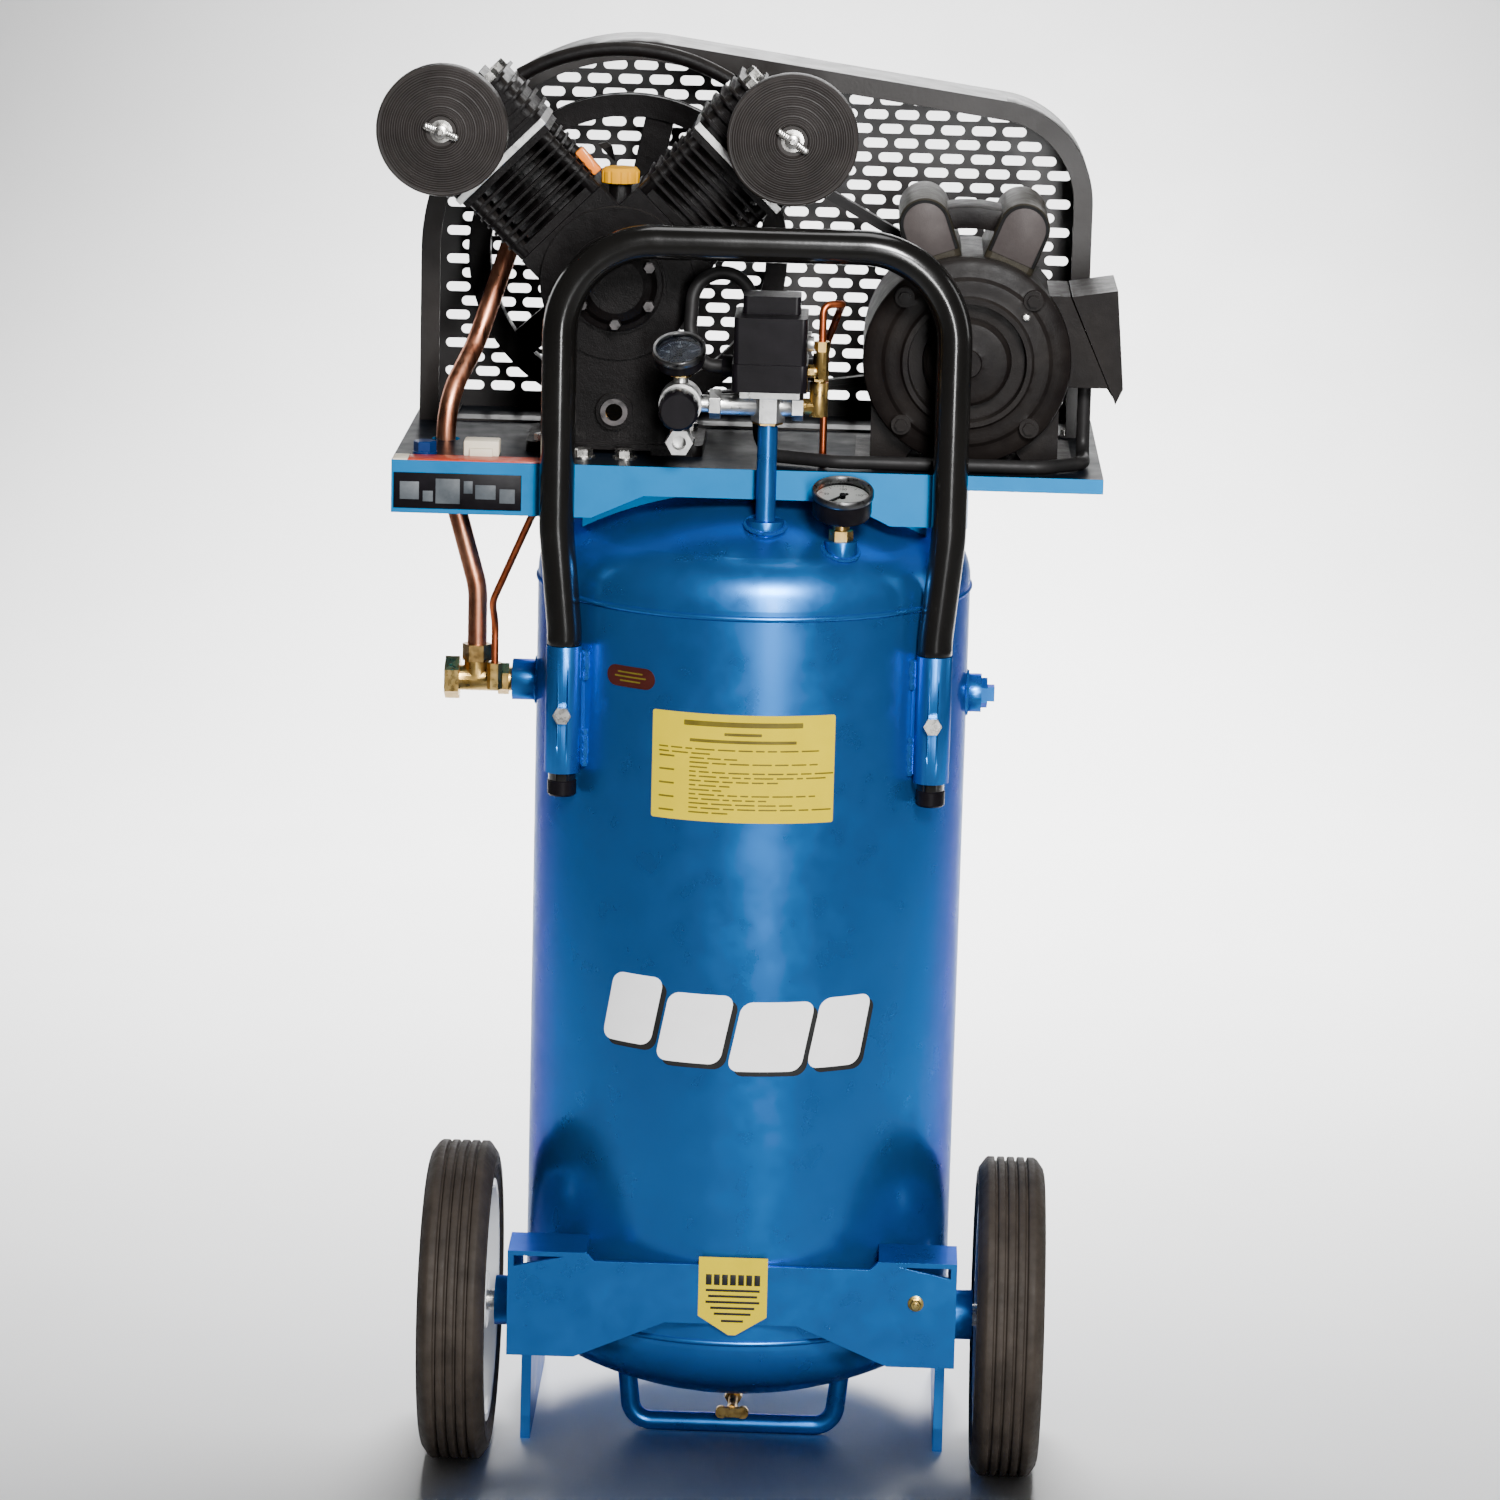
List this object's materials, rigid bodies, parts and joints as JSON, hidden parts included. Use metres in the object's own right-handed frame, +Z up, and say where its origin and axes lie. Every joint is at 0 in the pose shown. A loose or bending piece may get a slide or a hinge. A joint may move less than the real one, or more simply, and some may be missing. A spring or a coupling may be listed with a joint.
{
  "type": "vertical tank compressor",
  "caption": "Portable air compressor: V-twin belt-driven pump and electric motor on a deck over an upright tank, with handle and wheels.",
  "frame": {"origin": "middle of the whole footprint, on the floor", "axes": "+Z up along the tank, -Y towards the handle and wheels, +X right for a person at the handle"},
  "size_m": [0.6035, 0.427, 1.1653],
  "materials": {
    "blue_paint": "metallic gloss",
    "black_tube": "semi-gloss",
    "cast_black": "painted cast",
    "head_alloy": "painted cast",
    "motor_paint": "satin",
    "guard_paint": "satin",
    "steel": "machined",
    "zinc": "zinc plated",
    "piston_alloy": "machined",
    "rim_white": "gloss",
    "tyre_rubber": "ribbed",
    "belt_rubber": "matt",
    "black_plastic": "moulded",
    "yellow_plastic": "moulded",
    "silver_cast": "cast",
    "brass": "machined",
    "copper": "drawn copper tube",
    "gauge_body": "moulded",
    "sight_lens": "clear"
  },
  "bodies": {
    "compressor": {"tank_shell": "blue_paint", "tank_bungs": "blue_paint", "drain_valve": "brass", "drain_guard": "blue_paint", "axle_bracket": "blue_paint", "support_legs": "blue_paint", "stub_axles": "steel", "handle": "black_tube", "handle_sockets": "blue_paint", "platform": "blue_paint", "hex_bolts": "zinc", "crankcase": "cast_black", "bearing_cover": "cast_black", "sight_glass": "sight_lens", "oil_cap": "yellow_plastic", "breather": "black_plastic", "cylinders": "cast_black", "valve_plates": "head_alloy", "cylinder_heads": "head_alloy", "air_filters": "black_plastic", "shaft_bearings": "steel", "belt": "belt_rubber", "motor_shell": "motor_paint", "motor_endbells": "motor_paint", "motor_bolts": "zinc", "motor_stator": "steel", "motor_base": "motor_paint", "capacitor_covers": "motor_paint", "capacitors": "black_plastic", "terminal_box": "motor_paint", "guard_frame": "guard_paint", "guard_mesh": "guard_paint", "riser_pipe": "blue_paint", "manifold": "silver_cast", "safety_valve": "brass", "unloader_valve": "brass", "switch_base": "black_plastic", "switch_cover": "black_plastic", "regulator_body": "silver_cast", "gauge_cases": "gauge_body", "check_valve": "brass", "discharge_tubes": "copper", "unloader_tube": "copper", "motor_lead": "belt_rubber"},
    "wheel_left": {"rim_left": "rim_white", "tyre_left": "tyre_rubber"},
    "wheel_right": {"rim_right": "rim_white", "tyre_right": "tyre_rubber"},
    "crank": {"crankshaft": "steel", "flywheel": "cast_black"},
    "piston_left_body": {"piston_left": "piston_alloy"},
    "piston_right_body": {"piston_right": "piston_alloy"},
    "rotor": {"motor_rotor": "steel", "motor_pulley": "steel"},
    "drain_knob_body": {"drain_knob": "brass"},
    "regulator_knob_body": {"regulator_knob": "black_plastic"},
    "switch_lever_body": {"switch_lever": "silver_cast"},
    "safety_ring_body": {"safety_ring": "zinc"},
    "tank_needle_body": {"tank_needle": "gauge_body"},
    "outlet_needle_body": {"outlet_needle": "gauge_body"}
  },
  "joints": [
    {"name": "wheel_left_spin", "type": "hinge", "parent": "compressor", "child": "wheel_left", "pos_m": [-0.22025, -0.0815, 0.132], "axis": [1, 0, 0], "continuous": true},
    {"name": "wheel_right_spin", "type": "hinge", "parent": "compressor", "child": "wheel_right", "pos_m": [0.23375, -0.0815, 0.132], "axis": [1, 0, 0], "continuous": true},
    {"name": "crank_spin", "type": "hinge", "parent": "compressor", "child": "crank", "pos_m": [-0.10925, 0.1615, 0.978], "axis": [0, 1, 0], "continuous": true},
    {"name": "rotor_spin", "type": "hinge", "parent": "compressor", "child": "rotor", "pos_m": [0.17475, 0.1615, 0.9245], "axis": [0, 1, 0], "continuous": true},
    {"name": "piston_left_slide", "type": "slide", "parent": "compressor", "child": "piston_left_body", "axis": [-0.7071, 0, 0.7071], "range_m": [-0.025, 0.025]},
    {"name": "piston_right_slide", "type": "slide", "parent": "compressor", "child": "piston_right_body", "axis": [0.7071, 0, 0.7071], "range_m": [-0.025, 0.025]},
    {"name": "drain_knob_turn", "type": "hinge", "parent": "compressor", "child": "drain_knob_body", "pos_m": [0.00675, -0.0385, 0.024], "axis": [0, -1, 0], "range_deg": [0, 360]},
    {"name": "regulator_knob_turn", "type": "hinge", "parent": "compressor", "child": "regulator_knob_body", "pos_m": [-0.05325, -0.1435, 0.893], "axis": [0, -1, 0], "range_deg": [-360, 360]},
    {"name": "switch_lever_swing", "type": "hinge", "parent": "compressor", "child": "switch_lever_body", "pos_m": [0.04775, -0.1015, 0.947], "axis": [-1, 0, 0], "range_deg": [0, 40]},
    {"name": "safety_ring_pull", "type": "slide", "parent": "compressor", "child": "safety_ring_body", "axis": [0, 0, 1], "range_m": [0, 0.004], "stiffness_N_per_m": 500},
    {"name": "tank_needle_turn", "type": "hinge", "parent": "compressor", "child": "tank_needle_body", "pos_m": [0.07775, -0.1105, 0.80403], "axis": [-0.0201, 0.3011, -0.9534], "range_deg": [0, 270]},
    {"name": "outlet_needle_turn", "type": "hinge", "parent": "compressor", "child": "outlet_needle_body", "pos_m": [-0.05425, -0.0955, 0.921], "axis": [0.0502, 0.502, -0.8634], "range_deg": [0, 270]}
  ],
  "couplings": [
    {"joint": "rotor_spin", "follows": "crank_spin", "ratio": 3.4698}
  ]
}
